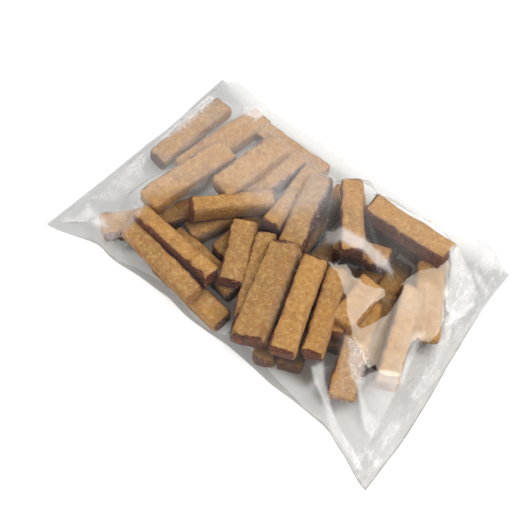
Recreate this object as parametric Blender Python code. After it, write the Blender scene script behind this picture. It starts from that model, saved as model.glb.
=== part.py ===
"""A clear sealed bag of french toast sticks, lying flat, as one closed solid.

The solid is the space inside the film. Its top is the film as it lies over the heap: it rests on
the upper faces of the sticks, bridges the gaps between them, falls steeply to the two long sides
and ends in a flat seal at each short end. Its underside is flat on the table.

Millimetres and degrees in the tables below, metres in the mesh. The long axis of the bag is X,
and +Z is up. The origin is on the table, under the middle of the bag.
"""
import math

import bmesh
import bpy
import numpy as np

MM = 0.001

# The bag, laid flat and filled
BAG_LENGTH = 447.0          # over both seals, along the near side
BAG_WIDTH = 284.0           # along a seal, corner to corner
NEAR_TUCK = 21.0            # how far the heap draws the near long side in
NEAR_LEFT_RUN = 72.0        # and the lengths over which the two corners run into it
NEAR_RIGHT_RUN = 60.0
FAR_TUCK = 7.0              # the same for the far long side
FAR_RUN = 105.0
NOTCH = 5.0                 # how much further in the far side is beside the right ear
NOTCH_PLACE = 72.0          # how far that is from the seal
NOTCH_RUN = 26.0            # and the length over which it fades
EAR_SWELL = 1.6             # how far air swells the far side out near its corners
EAR_LIFT = 10.0             # and how far it lifts it near the right one
EAR_PLACE = 38.0            # how far in from the seals that is greatest
EAR_RUN = 28.0              # and the length over which it fades
LEFT_SLANT = 5.0            # each seal's far corner stands this much nearer the bag's middle
RIGHT_SLANT = 23.0
LEFT_BOW = 3.5              # how far the left seal is drawn in at its middle
RIGHT_SWAY = 3.0            # how far the right one stands out in its near half, and in in its far half
SEAL_WIDTH = 7.0            # flat welded strip at each short end
SEAL_THICKNESS = 1.4        # both films and the air held between them at a seal
NEAR_SIDE_HEIGHT = 3.0      # where the film turns under, at the near side
FAR_SIDE_HEIGHT = 17.0      # and at the far side, which the heap lifts off the table
NEAR_RISE_RUN = 52.0        # lengths over which it rises to that from the corners
FAR_RISE_RUN = 30.0

# A stick, apart from its length and width
STICK_HEIGHT = 22.0
STICK_BREADTH = 26.0        # how high one stands that is turned on its narrow side
STICK_ROUNDING = 5.0        # radius of its long edges and ends
FILM_GAP = 0.6              # film above the stick that it touches

# The film
SAG = 0.06                  # curvature of the film where it hangs between sticks, per mm
BULGE = 0.008               # curvature the other way near the border, where air holds it out
BORDER_RUN = 38.0           # how far in from the border the air holds the film out
GRID_ALONG = 90             # cells from seal to seal
GRID_ACROSS = 58            # cells from long side to long side
SIDE_CROWDING = 0.45        # 0 spaces the rows evenly, 1 packs them against the long sides
RELAX_PASSES = 900

FILM_COLOUR = (0.80, 0.66, 0.48, 1.0)

# Sticks that lie on a broad face: x, y, heading, length, height of the tail, height of the head,
# width, roll. The heading is the way from tail to head, turned from +X, and the heights are of the
# underside. The roll is about the long axis: a stick with a positive one has its right side up.
LOWEST = [
    (-182, 49, 87, 112, 3, 3, 26, -10),
    (-142, 61, 81, 122, 3, 3, 32, -8),
    (-135, -69, 53, 103, 1, 1, 30, 0),
    (-74, 105, 0, 96, 1, 1, 26, 0),
    (-72, -8, 70, 96, 1, 1, 26, 6),
    (-44, -6, 86, 92, 1, 1, 25, -5),
    (-52, -68, 176, 100, 1, 1, 26, 0),
    (-40, -101, 175, 104, 1, 1, 26, 0),
    (14, -64, 117, 104, 1, 1, 26, 0),
    (47, -66, 116, 106, 1, 1, 25, 0),
    (71, -54, 116, 106, 1, 1, 28, 0),
    (101, -28, 113, 64, 1, 1, 26, 0),
    (139, -7, 115, 80, 3, 3, 26, 0),
    (-18, 52, 92, 90, 1, 1, 26, 0),
    (10, 56, 94, 98, 1, 1, 26, 0),
    (38, 52, 97, 98, 1, 1, 25, 0),
    (66, 48, 100, 92, 1, 1, 26, 0),
    (91, 42, 98, 88, 1, 8, 25, 5),
    (92, 96, 2, 100, 1, 1, 26, 0),
    (118, 24, 100, 92, 1, 1, 26, 0),
]
MIDDLE = [
    (-130, -7, 80, 114, 23, 23, 31, -8),
    (-57, 48, 82, 92, 14, 20, 26, 5),
    (-83, 42, 84, 90, 29, 28, 33, -8),
    (-73, -104, 172, 120, 23, 19, 26, 7),
    (-24, -43, 120, 76, 23, 23, 29, 0),
    (8, -52, 118, 102, 23, 23, 24, 0),
    (35, -62, 115, 104, 21, 21, 26, 0),
    (65, -52, 115, 104, 23, 23, 26, 0),
    (96, -22, 113, 68, 22, 23, 24, 0),
    (133, -46, 112, 104, 5, 21, 30, 4),
    (159, -10, 112, 112, 22, 23, 25, -5),
    (157, 43, 123, 84, 6, 27, 31, 0),
    (47, 61, 128, 80, 22, 22, 26, 0),
    (73, 40, 20, 62, 23, 23, 26, 0),
    (101, 82, 179, 92, 23, 23, 26, 0),
]
TOP = [
    (1, 38, 108, 90, 26, 33, 29, 8),
    (46, 56, 128, 88, 44, 45, 26, 0),
    (100, 81, 2, 98, 45, 45, 28, 4),
    (35, -64, 111, 114, 40, 40, 36, 19),
    (69, -58, 112, 109, 44, 45, 28, 0),
    (91, -42, 113, 99, 34, 34, 23, 8),
    (109, -15, 92, 58, 33, 36, 29, 0),
]
# Sticks that stand on a narrow side
ON_EDGE = [
    (-66, -4, 50, 96, 27, 19, 22, 0),
    (-24, 44, 97, 88, 20, 20, 22, 4),
    (-66, -83, 174, 114, 24, 24, 21, -6),
]

# Creases that stand up in the slack film: from x, y, height to x, y, height
CREASES = [
    (164, -76, 15, 210, -128, 2),
    (178, -58, 16, 208, -78, 3),
    (182, -30, 12, 210, -44, 3),
    (172, 60, 20, 202, 92, 3),
    (146, 104, 22, 192, 134, 2),
    (186, 20, 14, 204, 24, 3),
    (-160, -100, 12, -210, -132, 2),
    (-174, -76, 14, -212, -92, 3),
    (-194, 0, 10, -212, 2, 3),
    (-180, 104, 12, -208, 132, 2),
]
CREASE_WIDTH = 7.0


def clear_scene():
    for thing in list(bpy.data.objects):
        bpy.data.objects.remove(thing, do_unlink=True)


def smooth_step(value):
    clipped = np.clip(value, 0.0, 1.0)
    return clipped * clipped * (3.0 - 2.0 * clipped)


def hump(distance, place, run):
    """1 at a place and less with the distance from it."""
    return np.exp(-((distance - place) / run) ** 2)


def plan(along, across):
    """Place in the bag's outline: along runs 0 to 1 between the seals, across between the sides."""
    left = -BAG_LENGTH / 2 + LEFT_SLANT * across + LEFT_BOW * 4.0 * across * (1.0 - across)
    right = BAG_LENGTH / 2 - RIGHT_SLANT * across + RIGHT_SWAY * np.sin(2.0 * math.pi * across)
    x = left + along * (right - left)
    from_left, from_right = x - left, right - x
    near_in = NEAR_TUCK * smooth_step(from_left / NEAR_LEFT_RUN) * smooth_step(from_right / NEAR_RIGHT_RUN)
    far_in = FAR_TUCK * smooth_step(from_left / FAR_RUN) * smooth_step(from_right / FAR_RUN)
    far_in = far_in + NOTCH * hump(from_right, NOTCH_PLACE, NOTCH_RUN)
    for from_seal in (from_left, from_right):
        swell = EAR_SWELL * hump(from_seal, EAR_PLACE, EAR_RUN)
        far_in = far_in - swell * smooth_step(from_seal / EAR_PLACE)
    near, far = near_in - BAG_WIDTH / 2, BAG_WIDTH / 2 - far_in
    return x, near + across * (far - near)


def stick_top(x, y, stick, height):
    """Height of one stick's upper faces over the plan points, and 0 beside it."""
    centre_x, centre_y, heading, length, tail, head, width, roll = stick
    turn = math.radians(heading)
    lean = math.radians(abs(roll))
    forward = (x - centre_x) * math.cos(turn) + (y - centre_y) * math.sin(turn)
    aside = (x - centre_x) * math.sin(turn) - (y - centre_y) * math.cos(turn)
    uphill = aside if roll >= 0 else -aside
    reach = (width * math.cos(lean) + height * math.sin(lean)) / 2
    past_end = np.abs(forward) - (length / 2 - STICK_ROUNDING)
    past_side = np.abs(aside) - (reach - STICK_ROUNDING)
    over = np.hypot(np.maximum(past_end, 0), np.maximum(past_side, 0)) / STICK_ROUNDING
    middle = (tail + head) / 2 + (head - tail) * forward / length + height / 2
    face = (height / 2 + uphill * math.sin(lean)) / math.cos(lean)
    if roll:
        face = np.minimum(face, (width / 2 - uphill * math.cos(lean)) / math.sin(lean))
    drop = STICK_ROUNDING * (1.0 - np.sqrt(np.clip(1.0 - over * over, 0.0, 1.0)))
    return np.where(over < 1.0, middle + face - drop, 0.0)


def crease_top(x, y, crease):
    """Height of one crease's ridge over the plan points, and 0 beside it."""
    from_x, from_y, from_z, to_x, to_y, to_z = crease
    run_x, run_y = to_x - from_x, to_y - from_y
    length = math.hypot(run_x, run_y)
    share = np.clip(((x - from_x) * run_x + (y - from_y) * run_y) / length ** 2, 0.0, 1.0)
    aside = np.hypot(x - from_x - share * run_x, y - from_y - share * run_y)
    return (from_z + (to_z - from_z) * share) * np.clip(1.0 - aside / CREASE_WIDTH, 0.0, 1.0)


def heap_top(x, y):
    """What holds the film up from below, over the plan points."""
    highest = np.zeros_like(x)
    for stick in LOWEST + MIDDLE + TOP:
        highest = np.maximum(highest, stick_top(x, y, stick, STICK_HEIGHT))
    for stick in ON_EDGE:
        highest = np.maximum(highest, stick_top(x, y, stick, STICK_BREADTH))
    for crease in CREASES:
        highest = np.maximum(highest, crease_top(x, y, crease))
    return highest + FILM_GAP


def rim_height(x, y):
    """Height of the film at the bag's border: thin along the seals, thicker on the long sides."""
    from_end = np.minimum(x - x[:1, :], x[-1:, :] - x)
    across = (y - y[:, :1]) / (y[:, -1:] - y[:, :1])
    side = NEAR_SIDE_HEIGHT + (FAR_SIDE_HEIGHT - NEAR_SIDE_HEIGHT) * smooth_step(across)
    ear = EAR_LIFT * hump(x[-1:, :] - x, EAR_PLACE, EAR_RUN) * smooth_step(2.0 * across - 1.0)
    run = NEAR_RISE_RUN + (FAR_RISE_RUN - NEAR_RISE_RUN) * across
    return SEAL_THICKNESS + (side + ear - SEAL_THICKNESS) * smooth_step(from_end / run)


def border_distance(x, y):
    """Distance in from the nearest edge of the grid, at every plan point."""
    from_side = np.minimum(y - y[:, :1], y[:, -1:] - y)
    from_end = np.minimum(x - x[:1, :], x[-1:, :] - x)
    return np.minimum(from_side, from_end)


def drape(x, y, held):
    """Height of a film that is fixed where held says, lies on the heap and is taut between."""
    floor = heap_top(x, y)
    height = np.where(held, rim_height(x, y), np.maximum(floor, NEAR_SIDE_HEIGHT))
    cell = np.hypot(np.gradient(x, axis=0), np.gradient(y, axis=1)) / math.sqrt(2.0)
    inside = smooth_step(border_distance(x, y) / BORDER_RUN)
    lift = (BULGE - (BULGE + SAG) * inside) * cell * cell / 4.0
    for _ in range(RELAX_PASSES):
        mean = height.copy()
        mean[1:-1, 1:-1] = (height[2:, 1:-1] + height[:-2, 1:-1]
                            + height[1:-1, 2:] + height[1:-1, :-2]) / 4.0
        height = np.where(held, height, np.maximum(mean + lift, floor))
    return height


def film_grid():
    """Plan places and heights of the film's top, in mm, as three arrays."""
    along = np.linspace(0.0, 1.0, GRID_ALONG + 1)
    even = np.linspace(0.0, 1.0, GRID_ACROSS + 1)
    across = even - SIDE_CROWDING * np.sin(2 * math.pi * even) / (2 * math.pi)
    along, across = np.meshgrid(along, across, indexing="ij")
    x, y = plan(along, across)
    start, end = x[:1, :], x[-1:, :]
    sealed = (x - start < SEAL_WIDTH) | (end - x < SEAL_WIDTH)
    side = (across <= 0.0) | (across >= 1.0)
    return x, y, drape(x, y, sealed | side)


def film_material():
    material = bpy.data.materials.new("filled_bag")
    material.use_nodes = True
    shader = material.node_tree.nodes["Principled BSDF"]
    shader.inputs["Base Color"].default_value = FILM_COLOUR
    shader.inputs["Roughness"].default_value = 0.25
    shader.inputs["Metallic"].default_value = 0.0
    return material


def make_bag():
    """The closed solid: the draped top, a low wall round its rim and the flat underside."""
    x, y, z = film_grid()
    rows, columns = x.shape
    mesh = bmesh.new()
    top = [[mesh.verts.new((x[i, j] * MM, y[i, j] * MM, z[i, j] * MM)) for j in range(columns)]
           for i in range(rows)]
    for i in range(rows - 1):
        for j in range(columns - 1):
            mesh.faces.new((top[i][j], top[i + 1][j], top[i + 1][j + 1], top[i][j + 1]))

    rim = [(i, 0) for i in range(rows - 1)]
    rim += [(rows - 1, j) for j in range(columns - 1)]
    rim += [(i, columns - 1) for i in range(rows - 1, 0, -1)]
    rim += [(0, j) for j in range(columns - 1, 0, -1)]
    foot = [mesh.verts.new((x[i, j] * MM, y[i, j] * MM, 0.0)) for i, j in rim]
    for k, (i, j) in enumerate(rim):
        following = (k + 1) % len(rim)
        next_i, next_j = rim[following]
        mesh.faces.new((foot[k], foot[following], top[next_i][next_j], top[i][j]))
    mesh.faces.new(list(reversed(foot)))

    bmesh.ops.triangulate(mesh, faces=mesh.faces[:])
    data = bpy.data.meshes.new("bag")
    mesh.to_mesh(data)
    mesh.free()
    data.materials.append(film_material())
    data.shade_smooth()
    bag = bpy.data.objects.new("bag", data)
    bpy.context.scene.collection.objects.link(bag)


def main():
    clear_scene()
    make_bag()


main()
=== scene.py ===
"""Looks of a clear sealed bag of french toast sticks: sticks, film, frost, crumbs, floor and light.

Places, heights and lengths in the tables are millimetres, and headings are degrees. Meshes,
materials, lights and the camera's distance are in metres.
"""
import itertools
import math

import bpy
import numpy as np
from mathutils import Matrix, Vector
from mathutils.bvhtree import BVHTree


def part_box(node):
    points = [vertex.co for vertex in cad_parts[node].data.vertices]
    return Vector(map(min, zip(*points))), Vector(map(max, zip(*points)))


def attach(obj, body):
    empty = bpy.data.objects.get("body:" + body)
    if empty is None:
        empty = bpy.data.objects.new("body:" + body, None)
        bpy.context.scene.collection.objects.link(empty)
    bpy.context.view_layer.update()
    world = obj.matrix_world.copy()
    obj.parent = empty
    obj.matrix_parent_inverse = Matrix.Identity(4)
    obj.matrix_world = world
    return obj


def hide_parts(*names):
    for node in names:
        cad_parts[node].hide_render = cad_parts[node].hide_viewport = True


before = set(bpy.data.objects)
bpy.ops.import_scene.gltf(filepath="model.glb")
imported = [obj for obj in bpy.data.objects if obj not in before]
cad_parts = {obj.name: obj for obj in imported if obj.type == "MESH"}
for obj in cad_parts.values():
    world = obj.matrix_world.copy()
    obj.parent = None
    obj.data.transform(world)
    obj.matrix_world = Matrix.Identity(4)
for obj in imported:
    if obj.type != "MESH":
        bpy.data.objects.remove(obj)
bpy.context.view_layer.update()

MM = 0.001

# ---- The bag's plan, as in the solid ----
BAG_LOW, BAG_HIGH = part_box("bag")
BAG_LENGTH = (BAG_HIGH.x - BAG_LOW.x) / MM
BAG_WIDTH = (BAG_HIGH.y - BAG_LOW.y) / MM
NEAR_TUCK = 21.0            # how far the heap draws the near long side in
NEAR_LEFT_RUN = 72.0        # and the lengths over which the two corners run into it
NEAR_RIGHT_RUN = 60.0
FAR_TUCK = 7.0              # the same for the far long side
FAR_RUN = 105.0
NOTCH = 5.0                 # how much further in the far side is beside the right ear
NOTCH_PLACE = 72.0          # how far that is from the seal
NOTCH_RUN = 26.0            # and the length over which it fades
EAR_SWELL = 1.6             # how far air swells the far side out near its corners
EAR_LIFT = 10.0             # and how far it lifts it near the right one
EAR_PLACE = 38.0            # how far in from the seals that is greatest
EAR_RUN = 28.0              # and the length over which it fades
LEFT_SLANT = 5.0            # each seal's far corner stands this much nearer the bag's middle
RIGHT_SLANT = 23.0
LEFT_BOW = 3.5              # how far the left seal is drawn in at its middle
RIGHT_SWAY = 3.0            # how far the right one stands out in its near half, and in in its far half
EDGE_WAVE = 1.5             # how far the film's edge wanders off these lines, and over what distance
EDGE_WAVELENGTH = 30.0
SEAL_WIDTH = 7.0            # flat welded strip at each short end
SEAL_THICKNESS = 1.4
NEAR_SIDE_HEIGHT = 3.0      # where the film turns under, at the near side
FAR_SIDE_HEIGHT = 17.0      # and at the far side, which the heap lifts off the table
NEAR_RISE_RUN = 52.0        # lengths over which it rises to that from the corners
FAR_RISE_RUN = 30.0
UNDERSIDE_RUN = 14.0        # width over which the bag's underside rises to that
UNDERSIDE_HEIGHT = 0.3      # and how high it lies elsewhere

# Where the near side stands out, or in for a minus, beside those lines: x, how far, run
NEAR_WAVES = [(-130, 5.0, 26.0), (-50, -1.5, 20.0), (30, -2.0, 26.0), (176, 3.5, 14.0)]

# ---- The film's drape ----
FILM_GAP = 0.5              # film above what it lies on
SAG = 0.06                  # curvature of the film where it hangs between sticks, per mm
BULGE = 0.008               # curvature the other way near the border, where air holds it out
BORDER_RUN = 38.0
SIDE_CROWDING = 0.30        # 0 spaces the film's rows evenly, 1 packs them against the long sides
COARSE_GRID = (66, 42)      # cells along and across; each finer level halves them
FILM_LEVELS = 3
RELAX_PASSES = (500, 260, 120)
MAP_STEP = 1.5              # spacing of the height map that the film rests on

# ---- The film as cloth ----
SLACK_ALONG = 0.004         # spare length of the film over the shortest way across the heap
SLACK_ACROSS = 0.010
EVEN_SHARE = 0.55           # how much of the longest line's length the other lines have too
SETTLE_PASSES = (260, 160, 110)
STIFFNESS = (0.06, 0.10, 0.16)
MOMENTUM = 0.85
FALL = 0.050                # what the film drops in one pass where it hangs free, in mm
LIFT = 0.020                # and rises near the border, where air holds it out
FRICTION = 0.75
ROUGH_START = 0.25          # uneven start, in mm, from which the folds grow
EASE_PASSES = 14            # evens out the sideways drift that would fold the film over itself
STEEPEST = 1.25             # steepest slope of the film, and how much steeper it may be at its border
BORDER_STEEPER = 4.0
STEEPER_RUN = 16.0          # width over which that fades
SLOPE_PASSES = 24
FILM_SEED = 5

# ---- Folds and creases pressed into it ----
FOLD_WANDER = 1.6           # how far they wander off their lines, and over what distance
FOLD_WAVELENGTH = 17.0
FOLD_ENDS = 0.18            # share of a fold's length over which each end fades
CRUMPLE_FULL = 1.5          # above 1, crumpled places keep their full height round the middle
FINE_CREASES = 0.45         # height and spacing of the finer creases, as a share of the others'
RIDGE_SHARPNESS = 2.2
FLAT_BORDER = 2.0           # width of the border that stays flat, and over which the creases begin
FLAT_FADE = 7.0

# ---- The sticks ----
STICK_HEIGHT = 22.0
STICK_BREADTH = 26.0        # how high one stands that is turned on its narrow side
STICK_CELLS = (50, 11, 9)   # along, across and up
STICK_ROUNDING = 4.6
ROUNDING_SWING = 1.7        # how much more or less the long edges are rounded here and there
ROUNDING_WAVELENGTH = 12.0
HEIGHT_SPREAD = 0.8         # how far a stick's height may be off those two
FULLNESS = 0.975            # a stick's mean width and height, as a share of those in the tables
SWELL = 0.030               # share by which they grow and shrink along it
WIDTH_WAVELENGTH = 38.0
HEIGHT_WAVELENGTH = 30.0
SINK = 0.55                 # how far the faces lie below the box, on the whole
DENTS = ((14.0, 0.55), (7.0, 0.50))   # distance between dents and their depth
ROUGH_WAVELENGTH = 3.6      # the same for the finest unevenness
ROUGH_DEPTH = 0.30
END_SLANT = 0.09            # how far off square the ends may be cut, and the sticks be bent and twisted
BEND = 1.4
TWIST = 4.0
CRUST_WANDER = 1.8          # how far the dark crust's border wanders, and over what distance
CRUST_WAVELENGTH = 6.0
FULL_END_CRUST = 1.0        # widths of the full crust at the ends and on the side, where it is partly painted shade
FULL_SIDE_CRUST = 0.4
END_CRUST = 3.4             # and over which it fades there
SIDE_CRUST = 2.8
BROWNED_EDGE = 6.0          # width of the browning beside the edges
BROWNED_LESS = 2.0          # how much narrower it is past the ends' crust
BROWNED_WANDER = 1.2        # how far its border wanders, as a share of the crust's
DEEP_START = 6.0            # how far below its top a stick's painted shade begins, and the height over which it grows
DEEP_RUN = 12.0
FULL_ROLL = 16.0            # roll at which the side that is turned up to the light gets no painted shade, like the top
# greatest darkening by browning at the edges, and by painted shade below the top
BROWNED_SHARE, DEEP_SHARE = 0.60, 0.75
NOISE_SHIFT = 400           # how far into the noise a stick may start, so that no two look the same
OWN_GRAIN = 60              # the same for the material, in rows of this many
GRAIN_ROW = 7
STICK_SEED = 11

# x, y, heading, length, height of the tail, height of the head, width, roll, crust, ends. Heights
# are of the underside, and a positive roll turns the right side up. The dark outer crust of the loaf
# is on a stick's left side for a crust of 1, on its right side for -1 and on neither for 0; on that
# side it is partly painted shade, for a side that is turned from the light. The last number is how
# dark the two ends are, and above 1 also how far the dark reaches.
LYING = [
    (-182, 49, 87, 112, 3, 3, 26, -10, 1, 1.0),
    (-142, 61, 81, 122, 3, 3, 32, -8, 0, 0.1),
    (-135, -69, 53, 103, 1, 1, 30, 0, -1, 0.5),
    (-74, 105, 0, 96, 1, 1, 26, 0, -1, 0.3),
    (-72, -8, 70, 96, 1, 1, 26, 6, 0, 0.5),
    (-44, -6, 86, 92, 1, 1, 25, -5, 1, 0.6),
    (-52, -68, 176, 100, 1, 1, 26, 0, 0, 0.5),
    (-40, -101, 175, 104, 1, 1, 26, 0, -1, 0.6),
    (14, -64, 117, 104, 1, 1, 26, 0, 1, 0.6),
    (47, -66, 116, 106, 1, 1, 25, 0, 0, 0.6),
    (71, -54, 116, 106, 1, 1, 28, 0, 1, 0.6),
    (101, -28, 113, 64, 1, 1, 26, 0, 0, 0.5),
    (139, -7, 115, 80, 3, 3, 26, 0, 1, 0.4),
    (-18, 52, 92, 90, 1, 1, 26, 0, 0, 0.5),
    (10, 56, 94, 98, 1, 1, 26, 0, 1, 0.5),
    (38, 52, 97, 98, 1, 1, 25, 0, 0, 0.5),
    (66, 48, 100, 92, 1, 1, 26, 0, 1, 0.5),
    (91, 42, 98, 88, 1, 8, 25, 5, 0, 0.5),
    (92, 96, 2, 100, 1, 1, 26, 0, -1, 0.5),
    (118, 24, 100, 92, 1, 1, 26, 0, 0, 0.3),
    (-130, -7, 80, 114, 23, 23, 31, -8, 1, 0.15),
    (-57, 48, 82, 92, 14, 20, 26, 5, -1, 0.3),
    (-83, 42, 84, 90, 29, 28, 33, -8, 1, 0.2),
    (-78, -102, 173, 110, 21, 19, 24, 7, -1, 0.3),
    (-24, -43, 120, 76, 23, 23, 29, 0, 1, 0.8),
    (8, -52, 118, 102, 23, 23, 24, 0, 1, 0.8),
    (35, -62, 115, 104, 21, 21, 26, 0, 1, 0.8),
    (65, -52, 115, 104, 23, 23, 26, 0, 0, 0.8),
    (96, -22, 113, 68, 22, 23, 24, 0, -1, 0.9),
    (133, -46, 112, 104, 5, 21, 30, 4, 1, 0.3),
    (159, -10, 112, 112, 22, 23, 25, -5, 1, 0.15),
    (157, 43, 123, 84, 6, 27, 31, 0, 0, 0.3),
    (47, 61, 128, 80, 22, 22, 26, 0, 1, 0.8),
    (73, 40, 20, 62, 23, 23, 26, 0, -1, 0.8),
    (101, 82, 179, 92, 23, 23, 26, 0, 1, 0.9),
    (1, 38, 108, 90, 26, 33, 29, 8, -1, 0.5),
    (46, 56, 128, 88, 44, 45, 26, 0, 1, 1.0),
    (100, 81, 2, 98, 45, 45, 28, 4, -1, 1.0),
    (35, -64, 111, 114, 40, 40, 36, 19, 1, 1.0),
    (69, -58, 112, 109, 44, 45, 28, 0, 1, 1.0),
    (91, -42, 113, 99, 34, 34, 23, 8, 1, 1.0),
    (109, -15, 92, 58, 33, 36, 29, 0, 0, 0.4),
]
# Sticks that stand on a narrow side
ON_EDGE = [
    (-66, -4, 50, 96, 27, 19, 22, 0, 1, 2.4),
    (-24, 44, 97, 88, 20, 20, 22, 4, 1, 1.0),
    (-78, -81, 177, 112, 24, 24, 21, -6, 1, 1.0),
]

# Which of them, counted through both tables, are duller than the rest
DULL = (23, 24, 25, 35, 38)
MOST_TINT = 0.5             # how dull the others are at most

# ---- Creases, frost and grains ----
# Creases that stand up in the slack film: from x, y, height to x, y, height
CREASES = [
    (164, -76, 15, 210, -128, 2),
    (178, -58, 16, 208, -78, 3),
    (182, -30, 12, 210, -44, 3),
    (172, 60, 20, 202, 92, 3),
    (146, 104, 22, 192, 134, 2),
    (186, 20, 14, 204, 24, 3),
    (-160, -100, 12, -210, -132, 2),
    (-174, -76, 14, -212, -92, 3),
    (-194, 0, 10, -212, 2, 3),
    (-180, 104, 12, -208, 132, 2),
]
CREASE_WIDTH = 7.0

# Sharp folds: height, run of the slope on the left, run on the right, then the places that it passes
FOLDS = [
    (2.6, 13, 3, (107, -91), (140, -107), (166, -120), (196, -128)),
    (1.6, 3, 4, (120, -83), (138, -96), (160, -110), (180, -119), (204, -126)),
    (1.8, 20, 2, (146, -65), (162, -75), (181, -92), (199, -102)),
    (2.8, 9, 3, (172, 10), (185, -41), (194, -61), (200, -82), (202, -100), (206, -119)),
    (1.6, 3, 9, (177, 5), (184, -29), (193, -48)),
    (2.2, 7, 2, (189, 24), (197, -11), (202, -40), (205, -62)),
    (1.3, 3, 2, (195, 27), (204, -14), (207, -39), (208, -75), (208, -103)),
    (1.2, 3, 5, (190, -98), (202, -126)),
    (1.2, 6, 2, (188, -118), (208, -128)),
    (1.3, 7, 3, (175, -108), (190, -121)),
    (3.2, 9, 4, (132, 122), (157, 121), (176, 108), (187, 91), (191, 68)),
    (1.8, 9, 3, (150, 106), (172, 72), (189, 30)),
    (3.4, 12, 4, (-212, -131), (-203, -107), (-200, -84)),
    (2.4, 4, 8, (-209, -131), (-185, -117), (-160, -112)),
    (1.6, 7, 3, (-212, -91), (-193, -95), (-177, -95)),
    (1.8, 5, 3, (-209, -26), (-197, -42), (-184, -61)),
    (1.4, 5, 3, (-205, -10), (-183, -24)),
    (1.4, 6, 3, (-208, -66), (-189, -78)),
    (1.2, 4, 3, (-165, -20), (-162, -39)),
    (1.1, 3, 3, (60, 4), (79, -7), (98, -20), (120, -44)),
    (1.6, 7, 3, (-147, -104), (-128, -116), (-111, -122)),
    (1.0, 3, 3, (-20, -92), (-13, -79), (-4, -66)),
    (1.5, 6, 4, (36, 28), (56, 38), (73, 44), (91, 44), (108, 41)),
]
# Crumpled places: x, y, run, height of the creases and distance between them
CRUMPLED = [
    (-203, 74, 36, 1.6, 7),
    (200, -70, 42, 1.5, 13),
    (205, -20, 24, 0.9, 11),
    (138, -60, 22, 1.6, 10),
    (152, -56, 12, 1.6, 7),
    (-190, -90, 34, 1.1, 15),
    (-188, -30, 38, 1.0, 17),
    (178, 96, 34, 1.1, 14),
    (84, -118, 40, 1.0, 15),
    (-110, -118, 40, 0.8, 14),
]

# Where frost, scratches and doubled film make the bag milky, and where milk is a painted highlight on
# the bright panels, facets and glare band: share of milk, width over which the edge fades, then the
# outline
MILKY = [
    (0.17, 26, (-203, 5), (-209, 95), (-170, 122), (-92, 121), (-19, 113), (20, 60), (-10, 20),
     (-44, 17), (-71, 8), (-112, -17), (-141, -58), (-160, -88)),
    (0.07, 30, (-60, 120), (120, 120), (155, 90), (120, 50), (20, 10), (-60, 0)),
    # painted highlight: the glare band over the foot of a stick
    (0.42, 5, (30, 36), (49, 34), (70, 38), (87, 48), (103, 46), (112, 42), (101, 36), (85, 31),
     (69, 23), (52, 22), (38, 25)),
    # crinkled frost over the first stick's outer side
    (0.24, 6, (-210, 22), (-199, 14), (-189, 20), (-187, 52), (-188, 88), (-196, 106), (-208, 104),
     (-213, 76)),
    # the far end of the loose stick below the two long ones
    (0.24, 12, (-172, -110), (-160, -124), (-141, -118), (-129, -106), (-127, -80), (-134, -64),
     (-152, -62), (-168, -86)),
    # frost on the far end of the second stick
    (0.40, 5, (-161, 121), (-150, 124), (-130, 118), (-131, 109), (-145, 104), (-156, 110)),
    # crinkled frost beside the frosted zone
    (0.30, 4, (120, -48), (132, -53), (136, -63), (146, -70), (157, -75), (156, -64), (151, -53),
     (141, -46), (130, -43)),
    (0.10, 10, (118, -50), (140, -50), (160, -70), (162, -92), (146, -104), (138, -80)),
    # painted highlight on the pale pleat, panel and bands beside the right seal
    (0.42, 3, (115, -93), (122, -84), (140, -98), (157, -111), (168, -117), (190, -122), (211, -130),
     (205, -134), (188, -128), (164, -121), (147, -112), (132, -102)),
    (0.45, 4, (155, -72), (160, -62), (172, -50), (183, -45), (190, -57), (193, -72), (196, -88),
     (196, -98), (188, -98), (174, -88), (163, -80)),
    (0.30, 5, (169, 5), (175, 13), (177, -2), (182, -18), (187, -36), (192, -51), (188, -53), (182, -37),
     (175, -17), (170, -4)),
    (0.26, 8, (183, 50), (186, 58), (193, 40), (199, 20), (203, 1), (206, -15), (207, -31), (207, -45),
     (203, -49), (200, -35), (199, -19), (197, -1), (190, 23)),
    (0.30, 7, (201, -93), (202, -82), (207, -72), (213, -75), (213, -88), (213, -101), (210, -106)),
    (0.32, 6, (200, -112), (208, -108), (217, -110), (220, -120), (212, -119)),
    # painted highlight on the window below the right ear, in two panels, and on the ear's facets
    (0.46, 4, (145, 86), (150, 101), (157, 113), (168, 113), (178, 106), (187, 94), (192, 80), (192, 66),
     (184, 54), (176, 50), (166, 58), (161, 68), (155, 77), (149, 80)),
    (0.40, 5, (181, 58), (190, 64), (188, 48), (187, 38), (185, 33), (180, 45)),
    (0.04, 12, (140, 132), (150, 118), (170, 108), (186, 97), (196, 80), (202, 100), (204, 136),
     (170, 136)),
    (0.26, 5, (168, 128), (167, 137), (176, 138), (185, 132), (181, 121), (172, 122)),
    (0.26, 5, (167, 121), (179, 116), (196, 108), (194, 102), (179, 109), (168, 115)),
    # the left ear and the clouds along the left seal
    (0.42, 9, (-212, -129), (-202, -113), (-205, -95), (-191, -96), (-175, -99), (-157, -107),
     (-167, -114), (-182, -114)),
    (0.22, 16, (-203, -84), (-204, -62), (-190, -58), (-186, -74)),
    (0.24, 12, (-206, -54), (-206, -34), (-186, -38), (-186, -54)),
    (0.26, 10, (-206, -36), (-209, -10), (-198, -7), (-188, -28)),
]
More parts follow.
